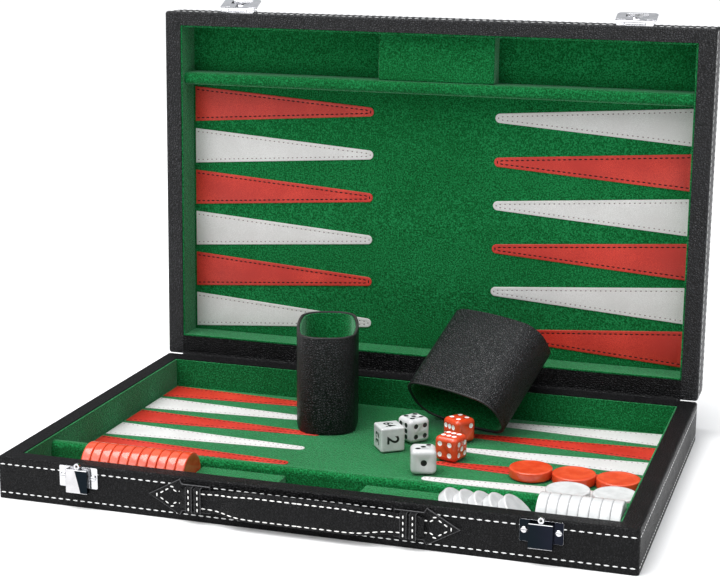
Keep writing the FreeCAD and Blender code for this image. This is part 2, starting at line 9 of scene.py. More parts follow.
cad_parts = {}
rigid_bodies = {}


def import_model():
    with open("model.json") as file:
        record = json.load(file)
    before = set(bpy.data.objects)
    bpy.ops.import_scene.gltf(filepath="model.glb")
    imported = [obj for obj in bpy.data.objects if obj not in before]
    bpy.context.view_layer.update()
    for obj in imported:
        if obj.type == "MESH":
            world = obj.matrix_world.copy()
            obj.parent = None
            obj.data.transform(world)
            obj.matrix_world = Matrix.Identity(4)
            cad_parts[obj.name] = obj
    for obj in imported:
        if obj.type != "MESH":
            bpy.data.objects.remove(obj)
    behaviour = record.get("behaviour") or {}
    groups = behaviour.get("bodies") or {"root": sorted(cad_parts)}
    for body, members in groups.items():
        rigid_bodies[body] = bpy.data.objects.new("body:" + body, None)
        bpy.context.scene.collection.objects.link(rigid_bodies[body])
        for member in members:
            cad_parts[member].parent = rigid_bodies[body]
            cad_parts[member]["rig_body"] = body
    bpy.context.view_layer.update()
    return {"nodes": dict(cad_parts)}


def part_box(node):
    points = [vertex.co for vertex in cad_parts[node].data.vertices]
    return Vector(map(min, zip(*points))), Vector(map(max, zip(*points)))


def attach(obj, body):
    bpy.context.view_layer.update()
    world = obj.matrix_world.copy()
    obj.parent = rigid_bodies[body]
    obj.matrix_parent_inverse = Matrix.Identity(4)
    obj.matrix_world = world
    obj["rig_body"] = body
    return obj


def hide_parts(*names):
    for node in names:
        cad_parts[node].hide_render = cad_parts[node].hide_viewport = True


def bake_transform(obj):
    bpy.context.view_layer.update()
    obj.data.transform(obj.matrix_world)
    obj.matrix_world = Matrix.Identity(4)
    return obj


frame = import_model()
MM = 0.001

# ---- places read from the frame, and the making sizes that go with them (metres) ----
COVER_LOW, COVER_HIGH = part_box("base_cover")
HALF_WIDTH = COVER_HIGH.x
HINGE_Y = COVER_HIGH.y
FRONT_Y = COVER_LOW.y
RIM_Z = COVER_HIGH.z
OPEN_ANGLE = math.radians(91.0)
INNER_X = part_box("base_lining")[1].x
FELT_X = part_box("base_field_felt")[1].x
FIELD_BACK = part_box("base_field_felt")[1].y
FIELD_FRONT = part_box("base_field_felt")[0].y
FIELD_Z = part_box("base_field_felt")[1].z
FELT_SHEET = 1.0 * MM
POINT_WIDTH = 25.0 * MM
POINT_TIP_X = 43.5 * MM
POINT_TIP_RADIUS = 3.2 * MM
POINT_GAP = 1.6 * MM
HANDLE_Z = 14.0 * MM
OPEN = (Matrix.Translation((0, HINGE_Y, RIM_Z)) @ Matrix.Rotation(-OPEN_ANGLE, 4, "X")
        @ Matrix.Translation((0, -HINGE_Y, -RIM_Z)))
UNTURNED = Matrix.Identity(4)


def shade(red, green, blue):
    """A colour given as 0 to 255, made linear."""
    def linear(value):
        value /= 255
        return value / 12.92 if value <= 0.04045 else ((value + 0.055) / 1.055) ** 2.4
    return (linear(red), linear(green), linear(blue), 1.0)


# ======================= materials =======================

class Finish:
    """A material being built: its shader, its nodes and short ways to wire them."""

    def __init__(self, name, roughness=0.5, metallic=0.0):
        self.material = bpy.data.materials.new(name)
        self.material.use_nodes = True
        self.tree = self.material.node_tree
        self.shader = self.tree.nodes["Principled BSDF"]
        self.shader.inputs["Roughness"].default_value = roughness
        self.shader.inputs["Metallic"].default_value = metallic
        self.place = self.tree.nodes.new("ShaderNodeTexCoord").outputs["Object"]

    def wire(self, source, target):
        self.tree.links.new(source, target)

    def noise(self, size, detail=3.0, rough=0.55, stretch=None):
        node = self.tree.nodes.new("ShaderNodeTexNoise")
        node.inputs["Scale"].default_value = 1 / size
        node.inputs["Detail"].default_value = detail
        node.inputs["Roughness"].default_value = rough
        source = self.place
        if stretch:
            mapping = self.tree.nodes.new("ShaderNodeMapping")
            mapping.inputs["Scale"].default_value = stretch
            self.wire(self.place, mapping.inputs["Vector"])
            source = mapping.outputs["Vector"]
        self.wire(source, node.inputs["Vector"])
        return node.outputs["Fac"]

    def cells(self, size, warp):
        """Pebbles: a cell pattern whose places are pushed about by a noise."""
        noise = self.tree.nodes.new("ShaderNodeTexNoise")
        noise.inputs["Scale"].default_value = 0.6 / size
        noise.inputs["Detail"].default_value = 1.0
        self.wire(self.place, noise.inputs["Vector"])
        push = self.tree.nodes.new("ShaderNodeVectorMath")
        push.operation = "MULTIPLY_ADD"
        self.wire(noise.outputs["Color"], push.inputs[0])
        push.inputs[1].default_value = (size * warp * 2,) * 3
        self.wire(self.place, push.inputs[2])
        cells = self.tree.nodes.new("ShaderNodeTexVoronoi")
        cells.feature = "DISTANCE_TO_EDGE"
        cells.inputs["Scale"].default_value = 1 / size
        self.wire(push.outputs["Vector"], cells.inputs["Vector"])
        return cells.outputs["Distance"]

    def spread(self, source, low, high, to_low=0.0, to_high=1.0):
        node = self.tree.nodes.new("ShaderNodeMapRange")
        node.interpolation_type = "SMOOTHSTEP"
        for name, value in (("From Min", low), ("From Max", high), ("To Min", to_low), ("To Max", to_high)):
            node.inputs[name].default_value = value
        self.wire(source, node.inputs["Value"])
        return node.outputs["Result"]

    def math(self, kind, one, two):
        node = self.tree.nodes.new("ShaderNodeMath")
        node.operation = kind
        for socket, value in zip(node.inputs, (one, two)):
            if isinstance(value, (int, float)):
                socket.default_value = value
            else:
                self.wire(value, socket)
        return node.outputs["Value"]

    def mixed(self, factor, one, two):
        node = self.tree.nodes.new("ShaderNodeMix")
        node.data_type = "RGBA"
        self.wire(factor, node.inputs["Factor"])
        for index, colour in ((6, one), (7, two)):
            if isinstance(colour, tuple):
                node.inputs[index].default_value = colour
            else:
                self.wire(colour, node.inputs[index])
        return node.outputs[2]

    def colour(self, source):
        self.wire(source, self.shader.inputs["Base Color"])

    def rough(self, source):
        self.wire(source, self.shader.inputs["Roughness"])

    def bump(self, height, depth, strength=1.0):
        node = self.tree.nodes.new("ShaderNodeBump")
        node.inputs["Distance"].default_value = depth
        node.inputs["Strength"].default_value = strength
        self.wire(height, node.inputs["Height"])
        self.wire(node.outputs["Normal"], self.shader.inputs["Normal"])

    def set(self, **values):
        for name, value in values.items():
            self.shader.inputs[name.replace("_", " ")].default_value = value
        return self


def pebbled_leather(name, dark, light, pebble, depth, low_rough, high_rough, gloss=0.3):
    f = Finish(name)
    grain = f.spread(f.cells(pebble, 0.2), 0.0, 0.32)
    broad = f.noise(0.035, 2.0)
    fine = f.noise(pebble * 0.35, 2.0)
    crowns = f.spread(f.noise(pebble * 1.3, 2.0, 0.6), 0.3, 0.7)
    tops = f.mixed(crowns, tuple(0.7 * v for v in light[:3]) + (1,), light)
    f.colour(f.mixed(grain, dark, tops))
    height = f.math("ADD", grain, f.math("MULTIPLY", fine, 0.3))
    f.bump(height, depth, 1.0)
    f.rough(f.spread(f.math("ADD", fine, broad), 0.7, 1.3, low_rough, high_rough))
    return f.set(Specular_IOR_Level=gloss).material


def felt_cloth(name, dark, light, bright):
    f = Finish(name, 0.95)
    fibre = f.noise(0.8 * MM, 1.0, 0.5)
    tuft = f.noise(1.0 * MM, 1.0, 0.5)
    worn = f.noise(60 * MM, 2.0)
    ground = f.mixed(f.spread(fibre, 0.42, 0.60), dark, light)
    f.colour(f.mixed(f.spread(f.math("ADD", f.math("MULTIPLY", tuft, 0.9), f.math("MULTIPLY", worn, 0.2)),
                              0.5, 0.74), ground, bright))
    f.bump(f.math("ADD", fibre, f.math("MULTIPLY", tuft, 0.8)), 0.5 * MM, 1.0)
    return f.set(Sheen_Weight=0.46, Sheen_Roughness=0.40, Sheen_Tint=(0.50, 0.95, 0.68, 1),
                 Specular_IOR_Level=0.08).material


def smooth_leather(name, dark, light, rough):
    f = Finish(name, rough)
    grain = f.spread(f.cells(0.8 * MM, 0.5), 0.0, 0.25)
    broad = f.noise(0.03, 2.0)
    f.colour(f.mixed(f.spread(f.math("ADD", f.math("MULTIPLY", broad, 0.8), f.math("MULTIPLY", grain, 0.3)),
                              0.45, 0.8), dark, light))
    f.rough(f.spread(f.noise(4 * MM, 2.0), 0.3, 0.7, rough - 0.06, rough + 0.08))
    f.bump(grain, 0.05 * MM, 0.45)
    return f.set(Specular_IOR_Level=0.45).material


def thread(name, dark, light):
    f = Finish(name, 0.7)
    f.colour(f.mixed(f.spread(f.noise(0.5 * MM, 2.0, 0.6), 0.35, 0.65), dark, light))
    f.bump(f.noise(0.16 * MM, 1.0, 0.5, (1, 1, 3)), 0.06 * MM, 0.7)
    return f.set(Sheen_Weight=0.04, Specular_IOR_Level=0.2).material


def chrome_plate(name, tint, low_rough, high_rough, painted_reflection_band=None):
    """Chrome. The optional band is (clear until, dark from) in metres along a slanted line: a dark reflection
    painted into the colour.
    """
    slant = 0.257
    f = Finish(name, 0.1, 1.0)
    haze = f.noise(6 * MM, 3.0)
    brushed = f.noise(0.5 * MM, 2.0, 0.6, (0.25, 1, 1))
    plating = f.mixed(f.spread(haze, 0.35, 0.7), tint, tuple(0.88 * v for v in tint[:3]) + (1,))
    if painted_reflection_band:
        split = f.tree.nodes.new("ShaderNodeSeparateXYZ")
        f.wire(f.place, split.inputs["Vector"])
        along = f.math("ADD", split.outputs["X"], f.math("MULTIPLY", split.outputs["Z"], slant))
        # painted reflection: past the slanted line the face turns near-black
        plating = f.mixed(f.spread(along, *painted_reflection_band), plating, (0.008, 0.012, 0.016, 1))
    f.colour(plating)
    f.rough(f.spread(f.math("ADD", haze, f.math("MULTIPLY", brushed, 0.4)), 0.5, 0.95, low_rough, high_rough))
    f.bump(f.math("ADD", f.math("MULTIPLY", brushed, 0.02), f.noise(9 * MM, 1.0)), 0.9 * MM, 0.6)
    return f.material


def gloss_plastic(name, dark, light):
    rough = 0.16
    f = Finish(name, rough)
    f.colour(f.mixed(f.spread(f.noise(7 * MM, 3.0), 0.35, 0.68), dark, light))
    f.rough(f.spread(f.noise(1.6 * MM, 3.0), 0.3, 0.7, rough - 0.03, rough + 0.07))
    f.bump(f.noise(2.4 * MM, 2.0), 0.02 * MM, 0.35)
    return f.set(Specular_IOR_Level=0.55, Coat_Weight=0.25, Coat_Roughness=0.08).material


def pale_wood(name):
    f = Finish(name, 0.6)
    bands = f.noise(2.2 * MM, 4.0, 0.6, (0.08, 1, 1))
    f.colour(f.mixed(f.spread(bands, 0.35, 0.65), shade(150, 112, 74), shade(196, 160, 118)))
    f.bump(bands, 0.08 * MM, 0.5)
    return f.material


def ink(name, tone):
    f = Finish(name, 0.35)
    light = tuple(min(1, v * 1.5 + 0.004) for v in tone[:3]) + (1,)
    f.colour(f.mixed(f.spread(f.noise(0.7 * MM, 2.0), 0.35, 0.65), tone, light))
    f.rough(f.spread(f.noise(0.4 * MM, 2.0), 0.3, 0.7, 0.3, 0.45))
    return f.material


# One black pebbled leather in two copies: the base's and handle's copy is painted darker and the lid's
# lighter, painted shade and light for how the light falls on the two halves.
BLACK_LEATHER = pebbled_leather("black_pebbled_leather", (0.0006, 0.0006, 0.0008, 1),
                                (0.0085, 0.0085, 0.010, 1), 1.5 * MM, 0.34 * MM, 0.36, 0.5, 0.17)
LID_LEATHER_PAINTED_LIGHTER = pebbled_leather("lid_leather_painted_lighter", (0.001, 0.001, 0.0013, 1), (0.026, 0.027, 0.031, 1),
                              1.5 * MM, 0.34 * MM, 0.36, 0.5)
CUP_LEATHER = pebbled_leather("cup_leather", (0.001, 0.001, 0.0013, 1), (0.021, 0.023, 0.026, 1),
                              1.5 * MM, 0.32 * MM, 0.34, 0.46)
CUT_LEATHER = smooth_leather("cut_leather_edge", (0.045, 0.045, 0.047, 1), (0.10, 0.10, 0.105, 1), 0.5)
CUP_EDGE = smooth_leather("cup_rim_leather", (0.012, 0.012, 0.013, 1), (0.035, 0.035, 0.037, 1), 0.5)
GREEN_FELT = felt_cloth("green_felt", (0.0008, 0.062, 0.011, 1), (0.004, 0.135, 0.032, 1),
                        (0.012, 0.21, 0.062, 1))
RED_LEATHER = smooth_leather("red_point_leather", (0.42, 0.018, 0.009, 1), (0.62, 0.044, 0.025, 1), 0.42)
WHITE_LEATHER = smooth_leather("white_point_leather", (0.55, 0.545, 0.535, 1), (0.66, 0.66, 0.65, 1), 0.45)
WHITE_THREAD = thread("white_thread", (0.80, 0.79, 0.77, 1), (0.95, 0.94, 0.92, 1))
RED_THREAD = thread("dark_red_thread", (0.012, 0.001, 0.001, 1), (0.035, 0.004, 0.004, 1))
PALE_THREAD = thread("pale_thread", (0.16, 0.13, 0.13, 1), (0.28, 0.24, 0.24, 1))
CHROME = chrome_plate("chrome_plating", (0.70, 0.70, 0.72, 1), 0.05, 0.16)
# The latches' chrome in copies with painted reflections: the left one a shade dimmer with a painted dark band
# slanting across its housing, the right one painted near-black all over for the dark reflection it shows.
LEFT_LATCH_PAINTED_REFLECTION_CHROME = chrome_plate("chrome_left_latch_painted_reflection", (0.62, 0.61, 0.62, 1), 0.08, 0.2,
                                 (-133.5 * MM, -133.1 * MM))
RIGHT_LATCH_PAINTED_DARK_CHROME = chrome_plate("chrome_right_latch_painted_dark", (0.012, 0.014, 0.022, 1), 0.06, 0.16,
                                  (149.0 * MM, 136.0 * MM))
SPRING_STEEL = chrome_plate("spring_steel", (0.5, 0.5, 0.52, 1), 0.2, 0.38)
RED_PLASTIC = gloss_plastic("orange_red_plastic", (0.60, 0.052, 0.014, 1), (0.70, 0.080, 0.026, 1))
WHITE_PLASTIC = gloss_plastic("white_plastic", (0.55, 0.555, 0.56, 1), (0.64, 0.645, 0.65, 1))
DARK_INK = ink("black_ink", (0.006, 0.006, 0.007, 1))
WHITE_INK = ink("white_ink", (0.72, 0.72, 0.70, 1))
WOOD = pale_wood("pale_wood")
BOARD = smooth_leather("brown_board", (0.05, 0.03, 0.018, 1), (0.12, 0.075, 0.045, 1), 0.75)
CUP_BOARD = smooth_leather("cup_base_board", (0.008, 0.008, 0.009, 1), (0.024, 0.024, 0.026, 1), 0.7)


# ======================= mesh helpers =======================

CRISP_ANGLE = 30       # degrees; sharper edges of the CAD pieces are rounded and kept crisp

def put(name, verts, faces, material, body, replaced=(), place=UNTURNED, smooth=True, fix=True):
    """A mesh piece with its place in its mesh, riding on a body and standing for CAD nodes."""
    mesh = bpy.data.meshes.new(name)
    mesh.from_pydata([tuple(place @ Vector(v)) for v in verts], [], faces)
    if fix:
        b = bmesh.new()
        b.from_mesh(mesh)
        bmesh.ops.remove_doubles(b, verts=b.verts, dist=1e-7)
        bmesh.ops.recalc_face_normals(b, faces=b.faces)
        b.to_mesh(mesh)
        b.free()
    mesh.materials.append(material)
    if smooth:
        smooth_shade(mesh, 38)
    obj = bpy.data.objects.new(name, mesh)
    bpy.context.scene.collection.objects.link(obj)
    if body:
        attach(obj, body)
    if replaced:
        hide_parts(*replaced)
    return obj


def smooth_shade(mesh, degrees):
    """Smooth shading, with edges sharper than the angle kept crisp."""
    mesh.polygons.foreach_set("use_smooth", [True] * len(mesh.polygons))
    b = bmesh.new()
    b.from_mesh(mesh)
    limit = math.radians(degrees)
    for edge in b.edges:
        edge.smooth = len(edge.link_faces) == 2 and edge.calc_face_angle(0) < limit
    b.to_mesh(mesh)
    b.free()


def settle(obj):
    """Turns an object's modifiers into a plain mesh."""
    graph = bpy.context.evaluated_depsgraph_get()
    mesh = bpy.data.meshes.new_from_object(obj.evaluated_get(graph), depsgraph=graph)
    obj.modifiers.clear()
    old = obj.data
    obj.data = mesh
    mesh.name = obj.name
    bpy.data.meshes.remove(old)
    return obj


def finish_edges(obj, width, segments, slot_index):
    """Rounds the edges of a piece and evens its shading."""
    bevel = obj.modifiers.new("edges", "BEVEL")
    bevel.material = slot_index
    bevel.width = width
    bevel.segments = segments
    bevel.limit_method = "ANGLE"
    bevel.angle_limit = math.radians(CRISP_ANGLE)
    bevel.harden_normals = True
    return settle(obj)


def refined(node, material, width, segments=2, name=None, edge=None):
    """A copy of a CAD node with its flat faces merged and its edges rounded, in edge's finish if given."""
    source = frame["nodes"][node]
    mesh = source.data.copy()
    b = bmesh.new()
    b.from_mesh(mesh)
    bmesh.ops.remove_doubles(b, verts=b.verts, dist=1e-6)
    bmesh.ops.dissolve_limit(b, angle_limit=math.radians(1.0), verts=b.verts, edges=b.edges)
    b.to_mesh(mesh)
    b.free()
    if mesh.attributes.get("custom_normal"):
        mesh.attributes.remove(mesh.attributes["custom_normal"])
    mesh.materials.clear()
    mesh.materials.append(material)
    if edge:
        mesh.materials.append(edge)
    smooth_shade(mesh, CRISP_ANGLE)
    obj = bpy.data.objects.new(name or node + "_finished", mesh)
    bpy.context.scene.collection.objects.link(obj)
    if width:
        finish_edges(obj, width, segments, 1 if edge else -1)
    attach(obj, source["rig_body"])
    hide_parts(node)
    return obj


def paint(material, *names):
    """Gives CAD nodes that stay as they are their material."""
    for name in names:
        mesh = frame["nodes"][name].data
        mesh.materials.clear()
        mesh.materials.append(material)


def islands(node):
    """The separate solids of a CAD node, as arrays of points."""
    b = bmesh.new()
    b.from_mesh(frame["nodes"][node].data)
    bmesh.ops.remove_doubles(b, verts=b.verts, dist=1e-6)
    b.verts.ensure_lookup_table()
    seen, found = set(), []
    for start in b.verts:
        if start.index in seen:
            continue
        seen.add(start.index)
        group, stack = [], [start]
        while stack:
            vert = stack.pop()
            group.append(tuple(vert.co))
            for edge in vert.link_edges:
                other = edge.other_vert(vert)
                if other.index not in seen:
                    seen.add(other.index)
                    stack.append(other)
        found.append(np.array(group))
    b.free()
    return found


# ======================= stitches =======================

def stitch_tree():
    """Geometry nodes: thread stitches at an even pitch along the lines of a mesh."""
    tree = bpy.data.node_groups.new("stitch_row", "GeometryNodeTree")
    tree.interface.new_socket("Geometry", in_out="INPUT", socket_type="NodeSocketGeometry")
    for name, value in (("Pitch", 4.5 * MM), ("Stitch length", 3.0 * MM), ("Thread width", 0.6 * MM),
                        ("Thread height", 0.4 * MM)):
        socket = tree.interface.new_socket(name, in_out="INPUT", socket_type="NodeSocketFloat")
        socket.default_value = value
    tree.interface.new_socket("Outward", in_out="INPUT", socket_type="NodeSocketVector")
    tree.interface.new_socket("Thread", in_out="INPUT", socket_type="NodeSocketMaterial")
    tree.interface.new_socket("Geometry", in_out="OUTPUT", socket_type="NodeSocketGeometry")

    def node(kind, **settings):
        made = tree.nodes.new(kind)
        for key, value in settings.items():
            setattr(made, key, value)
        return made

    link = tree.links.new
    given = node("NodeGroupInput")
    line = node("GeometryNodeMeshToCurve")
    even = node("GeometryNodeResampleCurve", mode="LENGTH")
    tangent = node("GeometryNodeInputTangent")
    turn = node("FunctionNodeAxesToRotation", primary_axis="X", secondary_axis="Z")
    bead = node("GeometryNodeMeshUVSphere")
    bead.inputs["Segments"].default_value = 8
    bead.inputs["Rings"].default_value = 5
    bead.inputs["Radius"].default_value = 0.5
    size = node("ShaderNodeCombineXYZ")
    lay = node("GeometryNodeInstanceOnPoints")
    real = node("GeometryNodeRealizeInstances")
    smooth = node("GeometryNodeSetShadeSmooth")
    finish = node("GeometryNodeSetMaterial")
    out = node("NodeGroupOutput")
    link(given.outputs["Geometry"], line.inputs["Mesh"])
    link(line.outputs["Curve"], even.inputs["Curve"])
    link(given.outputs["Pitch"], even.inputs["Length"])
    link(tangent.outputs["Tangent"], turn.inputs["Primary Axis"])
    link(given.outputs["Outward"], turn.inputs["Secondary Axis"])
    link(given.outputs["Stitch length"], size.inputs["X"])
    link(given.outputs["Thread width"], size.inputs["Y"])
    link(given.outputs["Thread height"], size.inputs["Z"])
    link(even.outputs["Curve"], lay.inputs["Points"])
    link(bead.outputs["Mesh"], lay.inputs["Instance"])
    link(turn.outputs["Rotation"], lay.inputs["Rotation"])
    link(size.outputs["Vector"], lay.inputs["Scale"])
    link(lay.outputs["Instances"], smooth.inputs["Geometry"])
    link(smooth.outputs["Geometry"], real.inputs["Geometry"])
    link(real.outputs["Geometry"], finish.inputs["Geometry"])
    link(given.outputs["Thread"], finish.inputs["Material"])
    link(finish.outputs["Geometry"], out.inputs["Geometry"])
    return tree


STITCH_ROW = stitch_tree()


def sew(name, paths, outward, material, body, pitch=4.7 * MM, length=3.4 * MM, width=0.85 * MM,
        height=0.42 * MM):
    """Stitches along paths that lie on a flat face with the given outward direction."""
    verts, edges = [], []
    for path in paths:
        first = len(verts)
        verts.extend(tuple(p) for p in path)
        edges.extend((first + i, first + i + 1) for i in range(len(path) - 1))
    lines = bpy.data.meshes.new(name + "_lines")
    lines.from_pydata(verts, edges, [])
    obj = bpy.data.objects.new(name, lines)
    bpy.context.scene.collection.objects.link(obj)
    rows = obj.modifiers.new("stitches", "NODES")
    rows.node_group = STITCH_ROW
    values = {"Pitch": pitch, "Stitch length": length, "Thread width": width, "Thread height": height,
              "Outward": tuple(outward), "Thread": material}
    for item in STITCH_ROW.interface.items_tree:
        if item.in_out == "INPUT" and item.name in values:
            rows[item.identifier] = values[item.name]
    settle(obj)
    if body:
        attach(obj, body)
    return obj


def joined(name, objs, body):
    """Several meshes as one piece on one body."""
    merged = bmesh.new()
    materials = []
    for obj in objs:
        start = len(merged.faces)
        merged.from_mesh(obj.data)
        merged.faces.ensure_lookup_table()
        for m in obj.data.materials:
            if m not in materials:
                materials.append(m)
        for face in merged.faces[start:]:
            face.material_index = materials.index(obj.data.materials[0])
    mesh = bpy.data.meshes.new(name)
    merged.to_mesh(mesh)
    merged.free()
    for m in materials:
        mesh.materials.append(m)
    for obj in objs:
        bpy.data.objects.remove(obj)
    piece = bpy.data.objects.new(name, mesh)
    bpy.context.scene.collection.objects.link(piece)
    if body:
        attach(piece, body)
    return piece


# ======================= case =======================

def case_leather():
    for half in ("base", "lid"):
        # The lid's copy of the leather is painted lighter than the base's: painted light on the same leather.
        leather = BLACK_LEATHER if half == "base" else LID_LEATHER_PAINTED_LIGHTER
        refined(half + "_cover", leather, 0, name=half + "_leather_cover")
        paint(leather, half + "_outer_sheet")
        paint(WOOD, half + "_walls")
        paint(BOARD, half + "_panel", half + "_field_board")


def case_stitches():
    """Two rows along the front and both sides of each half. The hinge faces meet, so they have none."""
    rows = (4.7 * MM, 22.3 * MM)
    inset = 3.4 * MM
    for half, place in (("base", UNTURNED), ("lid", OPEN)):
        sides = []
        for level in rows:
            z = RIM_Z - level if half == "base" else RIM_Z + level
            for normal, ends in (
                ((0, -1, 0), ((-HALF_WIDTH + inset, FRONT_Y), (HALF_WIDTH - inset, FRONT_Y))),
                ((-1, 0, 0), ((-HALF_WIDTH, FRONT_Y + inset), (-HALF_WIDTH, HINGE_Y - inset))),
                ((1, 0, 0), ((HALF_WIDTH, FRONT_Y + inset), (HALF_WIDTH, HINGE_Y - inset))),
            ):
                path = [place @ Vector((x, y, z)) for x, y in ends]
                outward = place.to_3x3() @ Vector(normal)
                sides.append(sew("side_row", [path], outward, WHITE_THREAD, None))
        piece = joined(half + "_side_stitches", sides, half)


def hinge_fold():
    """The leather that bends from the base's rear rim to the lid's."""
    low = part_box("base_hinge_strip")[0]
    thick = 0.8 * MM
    half = INNER_X
    reach = HINGE_Y - low.y
    bend = 2.4 * MM
    line = []
    for i in range(9):
        t = i / 8
        line.append((low.y + t * (reach - bend), RIM_Z))
    # fillet in the corner between the two rims
    for i in range(1, 10):
        a = i / 10
        p0 = Vector((HINGE_Y - bend, RIM_Z))
        p1 = Vector((HINGE_Y, RIM_Z))
        end = OPEN @ Vector((0, HINGE_Y - bend, RIM_Z))
        p2 = Vector((end.y, end.z))
        q = p0 * (1 - a) ** 2 + p1 * 2 * a * (1 - a) + p2 * a ** 2
        line.append((q.x, q.y))
    for i in range(9):
        t = 1 - i / 8
        p = OPEN @ Vector((0, low.y + t * (reach - bend), RIM_Z))
        line.append((p.y, p.z))
    columns = [-half + 2 * half * i / 60 for i in range(61)]
    verts, faces = [], []
    count = len(line)
    for side in (0, 1):
        for x in columns:
            for i, (y, z) in enumerate(line):
                before = Vector(line[max(0, i - 1)])
                after = Vector(line[min(count - 1, i + 1)])
                run = (after - before).normalized()
                down = Vector((run.y, -run.x)) * (thick * side)
                verts.append((x, y + down.x, z + down.y))
    across = len(columns)

    def at(side, c, i):
        return side * across * count + c * count + i

    for c in range(across - 1):
        for i in range(count - 1):
            faces.append((at(0, c, i), at(0, c + 1, i), at(0, c + 1, i + 1), at(0, c, i + 1)))
            faces.append((at(1, c, i), at(1, c, i + 1), at(1, c + 1, i + 1), at(1, c + 1, i)))
        for i in (0, count - 1):
            faces.append((at(0, c, i), at(1, c, i), at(1, c + 1, i), at(0, c + 1, i)))
    for c in (0, across - 1):
        for i in range(count - 1):
            faces.append((at(0, c, i), at(0, c, i + 1), at(1, c, i + 1), at(1, c, i)))
    obj = put("hinge_fold", verts, faces, BLACK_LEATHER, None)
    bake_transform(obj)
    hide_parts("base_hinge_strip", "lid_hinge_strip")


# ======================= felt =======================

def felt_field(half, place):
    """The felt sheet glued on the board, with a slightly uneven nap and a turned-down edge."""
    nx, ny = 120, 60
    inset = 0.05 * MM
    x0, x1 = -FELT_X + inset, FELT_X - inset
    y0, y1 = FIELD_FRONT + inset, FIELD_BACK - inset
    mirror = 1 if half == "base" else -1
    top = FIELD_Z if half == "base" else 2 * RIM_Z - FIELD_Z
    verts, faces = [], []
    for j in range(ny + 1):
        for i in range(nx + 1):
            x = x0 + (x1 - x0) * i / nx
            y = y0 + (y1 - y0) * j / ny
            rise = 0.05 * MM * math.sin(x * 410 + 3 * math.sin(y * 190)) * math.sin(y * 370)
            edge = min(i, j, nx - i, ny - j)
            rise = -0.25 * MM if edge == 0 else rise - 0.06 * MM
            verts.append((x, y, top + mirror * rise))
    bottom = len(verts)
    for j in range(ny + 1):
        for i in range(nx + 1):
            x = x0 + (x1 - x0) * i / nx
            y = y0 + (y1 - y0) * j / ny
            verts.append((x, y, top - mirror * FELT_SHEET))
    row = nx + 1
    for j in range(ny):
        for i in range(nx):
            a = j * row + i
            faces.append((a, a + 1, a + row + 1, a + row))
            a += bottom
            faces.append((a, a + row, a + row + 1, a + 1))
    rim = ([(i, 0) for i in range(nx)] + [(nx, j) for j in range(ny)]
           + [(i, ny) for i in range(nx, 0, -1)] + [(0, j) for j in range(ny, 0, -1)])
    for k, (i, j) in enumerate(rim):
        ni, nj = rim[(k + 1) % len(rim)]
        a, b = j * row + i, nj * row + ni
        faces.append((a, a + bottom, b + bottom, b))
    sheet = put(half + "_field_cloth", verts, faces, GREEN_FELT, half, [half + "_field_felt"],
                place)


def felt_work():
    felt_field("base", UNTURNED)
    felt_field("lid", OPEN)
    for half in ("base", "lid"):
        refined(half + "_lining", GREEN_FELT, 0.3 * MM, 2, half + "_wall_felt")
        refined(half + "_divider_bar", GREEN_FELT, 0, 2, half + "_divider")
    refined("base_trough_blocks", GREEN_FELT, 0.8 * MM, 3, "base_blocks")
    refined("lid_trough_block", GREEN_FELT, 0.8 * MM, 3, "lid_block")


# ======================= points =======================

def point_outline(shrink):
    """The tapered outline from its wide end just clear of x=0, drawn inwards by shrink."""
    length = FELT_X - POINT_TIP_X
    centre = length - POINT_TIP_RADIUS
    wide = POINT_WIDTH / 2
    run = centre - POINT_GAP
    lean = math.acos(POINT_TIP_RADIUS / math.hypot(wide, run)) - math.atan2(run, wide)
    radius = POINT_TIP_RADIUS - shrink
    start = math.pi / 2 - lean
    arc_steps = 14
    outline = []
    for i in range(arc_steps + 1):
        a = -start + 2 * start * i / arc_steps
        outline.append((centre + radius * math.cos(a), radius * math.sin(a)))
    slope = math.tan(lean)
    low, high = outline[0], outline[-1]
    base = POINT_GAP + shrink
    outline.append((base, high[1] + (high[0] - base) * slope))
    outline.insert(0, (base, low[1] - (low[0] - base) * slope))
    return outline


